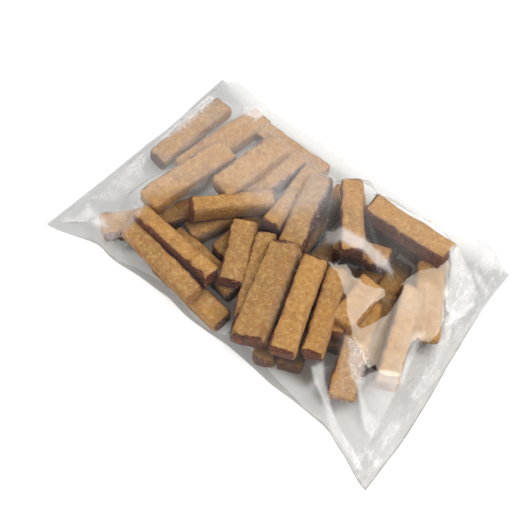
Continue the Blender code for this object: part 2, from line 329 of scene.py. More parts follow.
# Where white lines are painted as highlights on the finely crinkled film: share of white in the lines,
# width over which they fade, outline
CRINKLE_HIGHLIGHTS = [
    (0.42, 8, (-213, 16), (-198, 8), (-187, 18), (-184, 54), (-186, 92), (-196, 110), (-209, 106),
     (-214, 72)),
    (0.45, 8, (120, -46), (134, -54), (150, -74), (160, -74), (158, -52), (142, -42)),
    (0.16, 12, (-214, -60), (-196, -68), (-182, -44), (-186, 0), (-210, 6)),
    (0.26, 10, (-150, -112), (-122, -128), (-106, -118), (-124, -100)),
    (0.35, 12, (-168, 124), (-120, 124), (-110, 106), (-150, 100)),
    (0.12, 12, (166, 56), (190, 60), (196, 96), (176, 118), (152, 112)),
]
# Where a second, clinging layer of frost ends at a sharp edge, and the slit that is clear within it
FROSTED = [
    (61, -2), (75, 9), (87, 5), (102, 1), (115, 5), (121, 14), (124, 25), (127, 34), (128, 50),
    (135, 56), (147, 65), (151, 76), (168, 60), (170, 48), (181, 38), (186, 22), (184, 10), (173, 2),
    (173, -11), (179, -31), (185, -46), (176, -55), (169, -57), (159, -50), (157, -57), (139, -47),
    (124, -42), (108, -31), (97, -19), (75, -4),
]
CLEAR_SLIT = [
    (118, 20), (125, 8), (121, -13), (122, -35), (128, -35), (132, -18), (137, 1), (135, 20), (130, 34),
]
FROSTED_SHARE = 0.30
STREAK_STRETCH = 0.22       # how much longer than wide the streaks of painted highlight and shade beside the seals are
LEFT_SLACK = 8.0            # width of the empty film beside each seal
RIGHT_SLACK = 22.0
SLACK_FADE = 26.0
GREY_FILM = 20.0            # width of the greyer film, painted shade, beside the left seal and in the right ear
GREY_FADE = 50.0            # and over which it fades
EAR_START = 40.0            # how far beyond the bag's middle that ear begins

# Grains on the inner side of the film: x, y, run, how many, radius
FROST = [
    (8, 60, 10, 30, 0.38), (14, 46, 11, 40, 0.38), (28, 30, 13, 40, 0.38),
    (22, -22, 12, 24, 0.34), (24, -1, 14, 30, 0.34), (61, 0, 8, 24, 0.42),
    (3, -69, 14, 26, 0.34), (20, -85, 10, 18, 0.34), (50, -82, 16, 16, 0.30),
    (150, -86, 13, 46, 0.42), (146, -68, 12, 40, 0.42), (101, 43, 16, 34, 0.36), (134, 16, 10, 20, 0.36),
    (-143, -88, 3.2, 13, 0.55), (-144, -70, 3.0, 11, 0.55),
    (-146, 115, 13, 120, 0.50), (-120, 112, 14, 50, 0.45), (-203, 60, 12, 60, 0.50),
    (-205, 90, 12, 60, 0.50), (60, 20, 90, 110, 0.28), (-60, 20, 110, 110, 0.28),
    (170, -40, 50, 60, 0.30),
]
CRUMBS = [
    (-18, 37, 3, 6, 1.1), (-20, 44, 3, 5, 1.1), (-60, -60, 60, 14, 0.5), (60, -90, 50, 14, 0.5),
    (150, -60, 14, 12, 0.6), (20, 100, 60, 10, 0.5), (-190, -30, 16, 2, 0.5),
]
GRAIN_SIZES = (0.5, 1.3)    # smallest and largest, as a share of the radius, and how uneven they are
GRAIN_STRETCH = (0.7, 1.3)
GRAIN_STRAY = 0.8           # how far one lies beside the film's own points, and how far below the film
GRAIN_GAP = 0.1
GRAIN_SEED = 23

# ---- Colours ----
ICE = (0.93, 0.92, 0.92, 1.0)
CRUMB = (0.20, 0.065, 0.020, 1.0)
MILK = (0.88, 0.87, 0.85, 1.0)
WARM_MILK = (0.99, 0.91, 0.77, 1.0)
CLEAR_FILM = (0.843, 0.839, 0.825, 1.0)
FILM_EDGE = (0.62, 0.62, 0.61, 1.0)
# painted shade in the streaks beside the seals
STREAKED_FILM = (0.73, 0.73, 0.73, 1.0)
# painted shade: film greyed beside the left seal and in the right ear
GREYER_FILM = (0.76, 0.76, 0.765, 1.0)
# the underside's tint, darker than the top's: partly the film's own layers, partly painted shade on the
# floor under the bag
UNDER_FILM = (0.705, 0.705, 0.70, 1.0)
# painted shade below the heap, with some grease
UNDER_HEAP = (0.28, 0.24, 0.22, 1.0)
WHITE = (1.0, 1.0, 1.0, 1.0)
FLOOR_WHITE = (0.96, 0.96, 0.96, 1.0)

# ---- Camera ----
CAMERA_AZIMUTH = 41.0
CAMERA_ELEVATION = 61.0
CAMERA_DISTANCE = 0.865
CAMERA_AIM = (-0.00586, -0.02149, 0.0)
CAMERA_LENS = 54.34
SENSOR = 36.0


# ---- Small tools ----
def smooth_step(value):
    clipped = np.clip(value, 0.0, 1.0)
    return clipped * clipped * (3.0 - 2.0 * clipped)


def fade_out(value, run):
    """1 at zero and below, 0 beyond the run, and smooth between."""
    return 1.0 - smooth_step(value / run)


def value_noise(points, wavelength, seed):
    """Smooth noise from -1 to 1 at each row of points, with bumps about a wavelength across."""
    size = 32
    table = np.random.default_rng(seed).uniform(-1.0, 1.0, (size, size, size))
    cell = np.asarray(points, float) / wavelength
    base = np.floor(cell).astype(int)
    part = smooth_step(cell - base)
    total = np.zeros(len(cell))
    for corner in itertools.product((0, 1), repeat=3):
        at = (base + corner) % size
        share = np.prod(np.where(corner, part, 1.0 - part), axis=1)
        total += share * table[at[:, 0], at[:, 1], at[:, 2]]
    return total


def plan_noise(x, y, wavelength, seed):
    """The same noise over plan places, in the shape that they have."""
    spots = np.stack([x.ravel(), y.ravel(), np.zeros(x.size)], axis=1)
    return value_noise(spots, wavelength, seed).reshape(x.shape)


def plan_of(place):
    """The x and y of places, each in the shape that they have."""
    return place[..., 0], place[..., 1]


def along_line(x, y, points):
    """Distance of plan places from a line, which side they are on, and how far along it they are."""
    nearest = np.full(x.shape, 1e9)
    side = np.zeros(x.shape)
    share_of_line = np.zeros(x.shape)
    for step, ((from_x, from_y), (to_x, to_y)) in enumerate(zip(points, points[1:])):
        run_x, run_y = to_x - from_x, to_y - from_y
        share = ((x - from_x) * run_x + (y - from_y) * run_y) / math.hypot(run_x, run_y) ** 2
        share = np.clip(share, 0.0, 1.0)
        off_x, off_y = x - from_x - share * run_x, y - from_y - share * run_y
        apart = np.hypot(off_x, off_y)
        closer = apart < nearest
        nearest = np.where(closer, apart, nearest)
        side = np.where(closer, np.sign(run_x * off_y - run_y * off_x), side)
        share_of_line = np.where(closer, (step + share) / (len(points) - 1), share_of_line)
    return nearest, side, share_of_line


def inside_by(x, y, outline):
    """How far plan places lie inside a closed outline, and a negative distance outside it."""
    closed = list(outline) + [outline[0]]
    inside = np.zeros(x.shape, bool)
    for (from_x, from_y), (to_x, to_y) in zip(closed, closed[1:]):
        crosses = (from_y > y) != (to_y > y)
        slope = (to_x - from_x) / (to_y - from_y) if to_y != from_y else 0.0
        inside ^= crosses & (x < from_x + slope * (y - from_y))
    nearest = along_line(x, y, closed)[0]
    return np.where(inside, nearest, -nearest)


def new_object(name, data):
    """An object for a mesh, a light or a camera, in the scene."""
    thing = bpy.data.objects.new(name, data)
    bpy.context.scene.collection.objects.link(thing)
    return thing


def new_piece(name, places, faces, material):
    """A mesh object from places in millimetres and faces of three or four corners."""
    data = bpy.data.meshes.new(name)
    data.from_pydata((np.asarray(places) * MM).tolist(), [], np.asarray(faces).tolist())
    data.validate()
    data.materials.append(material)
    data.shade_smooth()
    return new_object(name, data)


def surface_tree(piece):
    """The piece's faces, for rays and for nearest places."""
    return BVHTree.FromPolygons([vertex.co for vertex in piece.data.vertices],
                                [face.vertices for face in piece.data.polygons])


def store(piece, name, values):
    """Keeps one number, or one vector, for each vertex, under a name that a material reads."""
    values = np.asarray(values, np.float32)
    kind, field = ("FLOAT_VECTOR", "vector") if values.ndim == 2 else ("FLOAT", "value")
    layer = piece.data.attributes.new(name, kind, "POINT")
    layer.data.foreach_set(field, values.ravel())


def store_distance(piece, name, tree):
    """Keeps how far each vertex lies from a surface."""
    store(piece, name, [tree.find_nearest(vertex.co)[3] for vertex in piece.data.vertices])


# ---- Sticks ----
def box_lattice(cells):
    """Corners and quads of a box's surface, split into cells: corners as whole steps along each axis."""
    index = {}
    corners = []
    quads = []

    def corner(steps):
        if steps not in index:
            index[steps] = len(corners)
            corners.append(steps)
        return index[steps]

    for axis in range(3):
        second, third = (axis + 1) % 3, (axis + 2) % 3
        for side in (0, cells[axis]):
            for i, j in itertools.product(range(cells[second]), range(cells[third])):
                ring = []
                for step_i, step_j in ((0, 0), (1, 0), (1, 1), (0, 1)):
                    steps = [0, 0, 0]
                    steps[axis] = side
                    steps[second] = i + step_i
                    steps[third] = j + step_j
                    ring.append(corner(tuple(steps)))
                quads.append(ring if side else ring[::-1])
    return np.array(corners, float), np.array(quads)


def rounded_box(corners, cells, size, seed):
    """The lattice's corners on a box of that size with unevenly rounded edges, crowded at the edges."""
    share = 2.0 * corners / np.array(cells) - 1.0
    crowded = 0.45 * share + 0.55 * np.sin(share * math.pi / 2)
    half = np.array(size) / 2
    place = crowded * half
    own_edge = np.stack([place[:, 0], 40 * np.sign(share[:, 1]), 40 * np.sign(share[:, 2])], axis=1)
    swing = ROUNDING_SWING * value_noise(own_edge, ROUNDING_WAVELENGTH, seed)
    rounding = (STICK_ROUNDING + swing)[:, None]
    core = np.clip(place, rounding - half, half - rounding)
    out = place - core
    return core + out * (rounding / np.maximum(np.linalg.norm(out, axis=1), 1e-9)[:, None])


def one_stick(corners, length, width, height, roll, crust_side, end_crust, seed):
    """Places of one uneven stick about its own middle, how crusted each is, the crust partly painted
    shade on the side, and how much browning at the edges and painted shade below the top darken it.
    """
    rng = np.random.default_rng(seed)
    place = rounded_box(corners, STICK_CELLS, (length, width, height), seed + 5)
    apart = place + rng.uniform(-NOISE_SHIFT, NOISE_SHIFT, 3)
    lengthwise = apart * (1, 0, 0)
    along = place[:, 0] / (length / 2)
    # Way out of the nearest face, which turns softly over the edges
    out = place / (length / 2, width / 2, height / 2)
    out = np.sign(out) * np.abs(out) ** 5
    normal = out / np.maximum(np.linalg.norm(out, axis=1), 1e-9)[:, None]
    from_side = width / 2 - crust_side * place[:, 1]
    from_edge = np.maximum(width / 2 - np.abs(place[:, 1]), height / 2 - np.abs(place[:, 2]))

    # The faces sink in and swell a little here and there, and the ends are cut unevenly
    place[:, 1] *= FULLNESS + SWELL * value_noise(lengthwise, WIDTH_WAVELENGTH, seed)
    place[:, 2] *= FULLNESS + SWELL * value_noise(lengthwise, HEIGHT_WAVELENGTH, seed + 6)
    dents = sum(depth * value_noise(apart, wavelength, seed + step)
                for step, (wavelength, depth) in enumerate(DENTS, 1))
    rough = ROUGH_DEPTH * value_noise(apart, ROUGH_WAVELENGTH, seed + 3)
    place -= normal * (SINK - dents - rough)[:, None]
    slant = rng.uniform(-END_SLANT, END_SLANT, 2)
    slanted = slant[0] * place[:, 1] + slant[1] * place[:, 2]
    place[:, 0] += np.sign(along) * np.abs(along) ** 6 * slanted

    bend = rng.uniform(-BEND, BEND)
    place[:, 1] += bend * (1.0 - along ** 2) - bend * 0.5
    twist = np.radians(rng.uniform(-TWIST, TWIST)) * along
    y = place[:, 1] * np.cos(twist) - place[:, 2] * np.sin(twist)
    z = place[:, 1] * np.sin(twist) + place[:, 2] * np.cos(twist)
    place[:, 1], place[:, 2] = y, z

    ragged = CRUST_WANDER * value_noise(apart, CRUST_WAVELENGTH, seed + 4)
    from_end = length / 2 - np.abs(place[:, 0]) - FULL_END_CRUST
    crust_and_shade = min(end_crust, 1.0) * fade_out(from_end + ragged, END_CRUST * max(end_crust, 1.0))
    # On its long side the crust is partly painted shade, for the side that is turned from the light
    if crust_side:
        crust_and_shade = np.maximum(crust_and_shade, fade_out(from_side - FULL_SIDE_CRUST + ragged, SIDE_CRUST))
    browned_and_shade = np.minimum(from_edge, from_end + BROWNED_LESS) + BROWNED_WANDER * ragged
    browned_and_shade = fade_out(browned_and_shade, BROWNED_EDGE)
    # Painted shade: the sides darken below the top, except a side that the roll turns up to the light
    turned_up = np.clip(-place[:, 1] / (width / 2) * roll / FULL_ROLL, 0.0, 1.0)
    painted_depth_shade = smooth_step((height / 2 - place[:, 2] - DEEP_START + ragged) / DEEP_RUN) * (1.0 - turned_up)
    return place, crust_and_shade, np.maximum(BROWNED_SHARE * browned_and_shade, DEEP_SHARE * painted_depth_shade)


def as_laid(place, stick, height):
    """A stick's places where it lies in the bag."""
    x, y, heading, length, tail, head, width, roll = stick[:8]
    lean, rise, turn = math.radians(roll), math.atan2(head - tail, length), math.radians(heading)
    left = place[:, 1] * math.cos(lean) + place[:, 2] * math.sin(lean)
    up = place[:, 2] * math.cos(lean) - place[:, 1] * math.sin(lean)
    forward = place[:, 0] * math.cos(rise) - up * math.sin(rise)
    up = place[:, 0] * math.sin(rise) + up * math.cos(rise)
    return np.stack([x + forward * math.cos(turn) - left * math.sin(turn),
                     y + forward * math.sin(turn) + left * math.cos(turn),
                     up + (tail + head) / 2 + height / 2], axis=1)


def make_sticks(material):
    """All the sticks of the bag in one mesh, with each one's own coordinates kept for its crust."""
    corners, quads = box_lattice(STICK_CELLS)
    places, faces = [], []
    layers = {"crust_and_shade": [], "browned_and_shade": [], "grain": [], "tint": []}
    rng = np.random.default_rng(STICK_SEED)
    for number, stick in enumerate(LYING + ON_EDGE):
        length, width, roll, crust_side, end_crust = stick[3], *stick[6:]
        height = STICK_HEIGHT if number < len(LYING) else STICK_BREADTH
        height += rng.uniform(-HEIGHT_SPREAD, HEIGHT_SPREAD)
        place, crust_and_shade, browned_and_shade = one_stick(corners, length, width, height, roll, crust_side, end_crust,
                                          STICK_SEED + 10 * number)
        faces.append(quads + len(corners) * number)
        places.append(as_laid(place, stick, height))
        row, column = divmod(number, GRAIN_ROW)
        layers["crust_and_shade"].append(crust_and_shade)
        layers["browned_and_shade"].append(browned_and_shade)
        layers["grain"].append((place + (0, OWN_GRAIN * column, OWN_GRAIN * row)) * MM)
        tint = 1.0 if number in DULL else rng.uniform(0.0, MOST_TINT)
        layers["tint"].append(np.full(len(place), tint))
    sticks = new_piece("sticks", np.concatenate(places), np.concatenate(faces), material)
    for name, values in layers.items():
        store(sticks, name, np.concatenate(values))
    return sticks


# ---- Film ----
def wave(place, seed):
    """How far the film's edge wanders, at each distance along it."""
    return EDGE_WAVE * plan_noise(place, np.zeros(place.shape), EDGE_WAVELENGTH, seed)


def hump(distance, place, run):
    """1 at a place and less with the distance from it."""
    return np.exp(-((distance - place) / run) ** 2)


def plan(along, across):
    """Place in the bag's outline: along runs 0 to 1 between the seals, across between the sides."""
    bow = 4.0 * across * (1.0 - across)
    left = -BAG_LENGTH / 2 + LEFT_SLANT * across + LEFT_BOW * bow
    right = BAG_LENGTH / 2 - RIGHT_SLANT * across + RIGHT_SWAY * np.sin(2.0 * math.pi * across)
    left = left + bow * wave(across * BAG_WIDTH, FILM_SEED + 11)
    right = right + bow * wave(across * BAG_WIDTH, FILM_SEED + 12)
    x = left + along * (right - left)
    from_left, from_right = x - left, right - x
    near_in = NEAR_TUCK * smooth_step(from_left / NEAR_LEFT_RUN)
    near_in = near_in * smooth_step(from_right / NEAR_RIGHT_RUN)
    far_in = FAR_TUCK * smooth_step(from_left / FAR_RUN) * smooth_step(from_right / FAR_RUN)
    far_in = far_in + NOTCH * hump(from_right, NOTCH_PLACE, NOTCH_RUN)
    for from_seal in (from_left, from_right):
        swell = EAR_SWELL * hump(from_seal, EAR_PLACE, EAR_RUN)
        far_in = far_in - swell * smooth_step(from_seal / EAR_PLACE)
    wander = smooth_step(np.minimum(from_left, from_right) / NEAR_RISE_RUN)
    near = near_in - BAG_WIDTH / 2 + wander * wave(x, FILM_SEED + 13)
    for place, out, run in NEAR_WAVES:
        near = near - out * hump(x, place, run)
    far = BAG_WIDTH / 2 - far_in + wander * wave(x, FILM_SEED + 14)
    return x, near + across * (far - near)


def film_plan(level):
    """Plan places of the film's grid at one level of fineness."""
    cells_along, cells_across = (count * 2 ** level for count in COARSE_GRID)
    along = np.linspace(0.0, 1.0, cells_along + 1)
    even = np.linspace(0.0, 1.0, cells_across + 1)
    across = even - SIDE_CROWDING * np.sin(2 * math.pi * even) / (2 * math.pi)
    along, across = np.meshgrid(along, across, indexing="ij")
    return plan(along, across)


def crease_top(x, y, crease):
    """Height of one crease's ridge over the plan points, and 0 beside it."""
    from_x, from_y, from_z, to_x, to_y, to_z = crease
    aside, _, share = along_line(x, y, [(from_x, from_y), (to_x, to_y)])
    return (from_z + (to_z - from_z) * share) * np.clip(1.0 - aside / CREASE_WIDTH, 0.0, 1.0)


def heap_top(x, y, tree):
    """What holds the film up from below, over the plan points: the sticks and the creases."""
    above = 0.2
    down = Vector((0, 0, -1))
    highest = np.zeros(x.shape)
    for at in np.ndindex(x.shape):
        hit = tree.ray_cast(Vector((x[at] * MM, y[at] * MM, above)), down)[0]
        if hit is not None:
            highest[at] = hit.z / MM
    spread = highest.copy()
    for step_i, step_j in itertools.product((-1, 0, 1), repeat=2):
        spread = np.maximum(spread, np.roll(highest, (step_i, step_j), (0, 1)))
    for crease in CREASES:
        spread = np.maximum(spread, crease_top(x, y, crease))
    return spread + FILM_GAP


def from_seals(x):
    """Distances of the film's grid points from the left seal's outer edge and from the right one's."""
    return x - x[:1, :], x[-1:, :] - x


def rim_height(x, y):
    """Height of the film at the bag's border: thin along the seals, thicker on the long sides."""
    from_left, from_right = from_seals(x)
    across = (y - y[:, :1]) / (y[:, -1:] - y[:, :1])
    side = NEAR_SIDE_HEIGHT + (FAR_SIDE_HEIGHT - NEAR_SIDE_HEIGHT) * smooth_step(across)
    ear = EAR_LIFT * hump(from_right, EAR_PLACE, EAR_RUN) * smooth_step(2.0 * across - 1.0)
    run = NEAR_RISE_RUN + (FAR_RISE_RUN - NEAR_RISE_RUN) * across
    inside = smooth_step(np.minimum(from_left, from_right) / run)
    return SEAL_THICKNESS + (side + ear - SEAL_THICKNESS) * inside


def border_distance(x, y):
    """How far the film's grid points lie inside its outline."""
    from_side = np.minimum(y - y[:, :1], y[:, -1:] - y)
    return np.minimum(from_side, np.minimum(*from_seals(x)))


def held_places(x):
    """Where the film can't move: in the seals and at the folded long sides."""
    held = np.minimum(*from_seals(x)) < SEAL_WIDTH
    held[:, 0] = held[:, -1] = True
    return held


def halve_cells(height):
    """The same heights on a grid with twice as many cells each way."""
    fine = np.zeros((2 * height.shape[0] - 1, 2 * height.shape[1] - 1))
    fine[::2, ::2] = height
    fine[1::2, ::2] = (height[1:] + height[:-1]) / 2
    fine[:, 1::2] = (fine[:, :-1:2] + fine[:, 2::2]) / 2
    return fine


def neighbour_mean(field):
    """Mean of the four neighbours of each point inside a grid."""
    return (field[2:, 1:-1] + field[:-2, 1:-1] + field[1:-1, 2:] + field[1:-1, :-2]) / 4


def drape(tree):
    """The film's grid lying over the heap, taut between what holds it up."""
    height = None
    for level in range(FILM_LEVELS):
        x, y = film_plan(level)
        floor = heap_top(x, y, tree)
        held = held_places(x)
        start = floor if height is None else halve_cells(height)
        height = np.where(held, rim_height(x, y), np.maximum(start, NEAR_SIDE_HEIGHT))
        cell = np.hypot(np.gradient(x, axis=0), np.gradient(y, axis=1)) / math.sqrt(2.0)
        inside = smooth_step(border_distance(x, y) / BORDER_RUN)
        lift = (BULGE - (BULGE + SAG) * inside) * cell * cell / 4.0
        for _ in range(RELAX_PASSES[level]):
            mean = height.copy()
            mean[1:-1, 1:-1] = neighbour_mean(height)
            height = np.where(held, height, np.maximum(mean + lift, floor))
    return np.stack([x, y, height], axis=-1)


def height_map(tree):
    """Heights of the sticks and creases on an even grid in plan, for the film to settle on."""
    x, y = (np.arange(-size / 2 - MAP_STEP, size / 2 + 2 * MAP_STEP, MAP_STEP)
            for size in (BAG_LENGTH, BAG_WIDTH))
    return x[0], y[0], heap_top(*np.meshgrid(x, y, indexing="ij"), tree)


def look_up(heights, x, y):
    """Height of the map under plan places, between its grid points."""
    start_x, start_y, table = heights
    i = np.clip((x - start_x) / MAP_STEP, 0, table.shape[0] - 1.001)
    j = np.clip((y - start_y) / MAP_STEP, 0, table.shape[1] - 1.001)
    low_i, low_j = i.astype(int), j.astype(int)
    part_i, part_j = i - low_i, j - low_j
    low = table[low_i, low_j] * (1 - part_j) + table[low_i, low_j + 1] * part_j
    high = table[low_i + 1, low_j] * (1 - part_j) + table[low_i + 1, low_j + 1] * part_j
    return low * (1 - part_i) + high * part_i


def film_lengths(place):
    """Lengths of the film's own cells along and across, and over their diagonals."""
    along, across = (np.linalg.norm(np.diff(place, axis=axis), axis=-1) for axis in (0, 1))
    plan_along = np.diff(place[..., 0], axis=0)
    plan_across = np.diff(place[..., 1], axis=1)
    own = along.sum(axis=0)
    total = own + EVEN_SHARE * (own.max() - own)
    along = plan_along / plan_along.sum(axis=0) * total * (1 + SLACK_ALONG)
    own = across.sum(axis=1)
    total = own + EVEN_SHARE * np.maximum(own.mean() - own, 0)
    across = plan_across / plan_across.sum(axis=1)[:, None] * total[:, None] * (1 + SLACK_ACROSS)
    diagonal = np.hypot((along[:, :-1] + along[:, 1:]) / 2, (across[:-1] + across[1:]) / 2)
    return along, across, diagonal


def neighbours(rows, columns, lengths):
    """The film's threads in groups that share no point: two slices of the grid and their lengths."""
    along, across, diagonal = lengths
    every, left, right = slice(None), slice(0, -1), slice(1, None)
    groups = []
    for start in (0, 1):
        here, after = slice(start, rows - 1, 2), slice(start + 1, rows, 2)
        groups.append(((here, every), (after, every), along[here]))
        groups.append(((here, left), (after, right), diagonal[here]))
        groups.append(((here, right), (after, left), diagonal[here]))
        here, after = slice(start, columns - 1, 2), slice(start + 1, columns, 2)
        groups.append(((every, here), (every, after), across[:, here]))
    return groups


def settle(place, lengths, loose, heights, level):
    """The film as thin cloth: it keeps its own lengths, falls, and rests on what lies under it."""
    groups = neighbours(*place.shape[:2], lengths)
    free = loose.astype(float)[..., None]
    inside = smooth_step(border_distance(*plan_of(place)) / BORDER_RUN)
    drift = (LIFT - (LIFT + FALL) * inside)[..., None] * np.array((0.0, 0.0, 1.0))
    before = place.copy()
    for _ in range(SETTLE_PASSES[level]):
        moved = place + free * ((place - before) * MOMENTUM + drift)
        before, place = place, moved
        for first, second, length in groups:
            apart = place[second] - place[first]
            size = np.linalg.norm(apart, axis=-1, keepdims=True)
            shares = np.maximum(free[first] + free[second], 1e-9)
            change = apart * (1.0 - length[..., None] / np.maximum(size, 1e-9)) / shares
            place[first] += free[first] * change
            place[second] -= free[second] * change
        bent = neighbour_mean(place) - place[1:-1, 1:-1]
        place[1:-1, 1:-1] += free[1:-1, 1:-1] * STIFFNESS[level] * bent
        floor = look_up(heights, *plan_of(place))
        resting = (place[..., 2] < floor) & loose
        place[..., 2] = np.where(resting, floor, place[..., 2])
        grip = FRICTION * resting[..., None]
        place[..., :2] += grip * (before[..., :2] - place[..., :2])
    return place


def eased(place, start, loose):
    """The settled film without places that fold over themselves, and no steeper than a tent's side."""
    drift = (place - start)[..., :2]
    for _ in range(EASE_PASSES):
        mean = (drift[1:-1, 1:-1] + neighbour_mean(drift)) / 2
        drift[1:-1, 1:-1] = np.where(loose[1:-1, 1:-1, None], mean, 0.0)
    place = np.concatenate([start[..., :2] + drift, place[..., 2:]], axis=-1)
    along, across = (np.hypot(*plan_of(np.diff(place, axis=axis))) for axis in (0, 1))
    slope = STEEPEST + BORDER_STEEPER * fade_out(border_distance(*plan_of(start)), STEEPER_RUN)
    height = place[..., 2].copy()
    for _ in range(SLOPE_PASSES):
        lifted = height.copy()
        lifted[1:] = np.maximum(lifted[1:], height[:-1] - slope[1:] * along)
        lifted[:-1] = np.maximum(lifted[:-1], height[1:] - slope[:-1] * along)
        lifted[:, 1:] = np.maximum(lifted[:, 1:], height[:, :-1] - slope[:, 1:] * across)
        lifted[:, :-1] = np.maximum(lifted[:, :-1], height[:, 1:] - slope[:, :-1] * across)
        height = np.where(loose, lifted, height)
    return np.concatenate([place[..., :2], height[..., None]], axis=-1)


def settled_film(taut, heights):
    """The taut film let go as cloth, first in coarse cells for the broad folds, then in finer ones."""
    shift = None
    for level in range(FILM_LEVELS):
        step = 2 ** (FILM_LEVELS - 1 - level)
        start = taut[::step, ::step]
        loose = ~held_places(start[..., 0])
        if shift is None:
            rng = np.random.default_rng(FILM_SEED)
            shift = rng.normal(0.0, ROUGH_START, start.shape) * loose[..., None]
        else:
            shift = np.stack([halve_cells(shift[..., axis]) for axis in range(3)], axis=-1)
        place = settle(start + shift * loose[..., None], film_lengths(start), loose, heights, level)
        shift = place - start
    return eased(place, start, loose)


def folded(place):
    """The film with its sharp folds and crumpled places pressed in."""
    place = place.copy()
    spot = plan_of(place)
    x, y = (part + FOLD_WANDER * plan_noise(*spot, FOLD_WAVELENGTH, FILM_SEED + step)
            for step, part in enumerate(spot, 1))
    rise = np.zeros(x.shape)
    for height, left_run, right_run, *points in FOLDS:
        apart, side, share = along_line(x, y, points)
        slope = np.clip(1.0 - apart / np.where(side > 0, left_run, right_run), 0.0, 1.0)
        fade = smooth_step(share / FOLD_ENDS) * smooth_step((1.0 - share) / FOLD_ENDS)
        rise = np.maximum(rise, height * slope * fade)
    for centre_x, centre_y, run, height, apart in CRUMPLED:
        reach = smooth_step(CRUMPLE_FULL * (1.0 - np.hypot(x - centre_x, y - centre_y) / run))
        for share, seed in ((1.0, 3), (FINE_CREASES, 4)):
            crease = np.abs(plan_noise(*spot, apart * share, FILM_SEED + seed))
            ridge = np.clip(1.0 - crease * RIDGE_SHARPNESS, 0.0, 1.0)
            rise = rise + height * share * reach * ridge
    place[..., 2] += rise * smooth_step((border_distance(*spot) - FLAT_BORDER) / FLAT_FADE)
    return place


def milkiness(x, y, zones):
    """Share of milk or of crinkles at plan places, summed over the zones."""
    veil = np.zeros(x.shape)
    for share, softness, *outline in zones:
        veil += share * smooth_step(0.5 + inside_by(x, y, outline) / softness)
    return veil


def slackness(x):
    """1 where the film lies empty beside the seals, fading out towards the heap."""
    from_left, from_right = from_seals(x)
    return np.maximum(fade_out(from_left - LEFT_SLACK, SLACK_FADE),
                      fade_out(from_right - RIGHT_SLACK, SLACK_FADE))


def grid_quads(rows, columns):
    number = np.arange(rows * columns).reshape(rows, columns)
    ring = (number[:-1, :-1], number[1:, :-1], number[1:, 1:], number[:-1, 1:])
    return np.stack([corner.ravel() for corner in ring], axis=1)


def make_film_top(tree, material):
    """The bag's upper film with what its material reads, and the film's places in millimetres."""
    taut = drape(tree)
    x, y = plan_of(taut)
    heights = height_map(tree)
    place = folded(settled_film(taut, heights))
    spot = plan_of(place)
    film = new_piece("film_top", place.reshape(-1, 3), grid_quads(*x.shape), material)
    # Painted shade: greyer film beside the left seal and in the right ear
    grey_left, grey_right = (fade_out(apart - GREY_FILM, GREY_FADE) for apart in from_seals(x))
    grey_ear = grey_right * smooth_step((y - EAR_START) / GREY_FADE)
    frosted = np.minimum(inside_by(*spot, FROSTED), -inside_by(*spot, CLEAR_SLIT))
    for name, values in (("gap", (place[..., 2] - look_up(heights, *spot)) * MM),
                         ("veil", milkiness(*spot, MILKY)),
                         ("crinkle_highlight", milkiness(*spot, CRINKLE_HIGHLIGHTS)),
                         ("frosted", frosted * MM),
                         ("slack", slackness(x)),
                         ("grey", np.maximum(grey_left, grey_ear)),
                         ("border", border_distance(x, y) * MM)):
        store(film, name, values.ravel())
    # Coordinates drawn out along the seals, so that a noise over them streaks that way
    store(film, "streaks", (place * (1.0, STREAK_STRETCH, 0.0)).reshape(-1, 3) * MM)
    return film, place


def make_film_bottom(material):
    """The bag's lower film, flat on the table and lifted along the far side."""
    x, y = film_plan(FILM_LEVELS - 1)
    lifted = np.clip(1.0 - (y[:, -1:] - y) / UNDERSIDE_RUN, 0.0, 1.0) ** 2
    z = UNDERSIDE_HEIGHT + (rim_height(x, y)[:, -1:] - 2 * UNDERSIDE_HEIGHT) * lifted
    place = np.stack([x, y, z], axis=-1)
    return new_piece("film_bottom", place.reshape(-1, 3), grid_quads(*x.shape), material)


def make_grains(name, zones, film_place, seed, material):
    """Small uneven grains that hang on the film's inner side, in one mesh."""
    rng = np.random.default_rng(seed)
    lattice = np.concatenate([np.eye(3), -np.eye(3)])
    sides = np.array([(0, 1, 2), (1, 3, 2), (3, 4, 2), (4, 0, 2),
                      (1, 0, 5), (3, 1, 5), (4, 3, 5), (0, 4, 5)])
    flat = film_place.reshape(-1, 3)
    places, faces = [], []
    for x, y, run, count, radius in zones:
        near = flat[np.hypot(flat[:, 0] - x, flat[:, 1] - y) < run]
        for spot in near[rng.integers(len(near), size=count)]:
            size = radius * rng.uniform(*GRAIN_SIZES) * rng.uniform(*GRAIN_STRETCH, 3)
            stray_x, stray_y = (rng.uniform(-GRAIN_STRAY, GRAIN_STRAY) for _ in range(2))
            centre = spot + (stray_x, stray_y, -size[2] - GRAIN_GAP)
            faces.append(sides + len(lattice) * len(places))
            places.append(centre + lattice * size)
    return new_piece(name, np.concatenate(places), np.concatenate(faces), material)


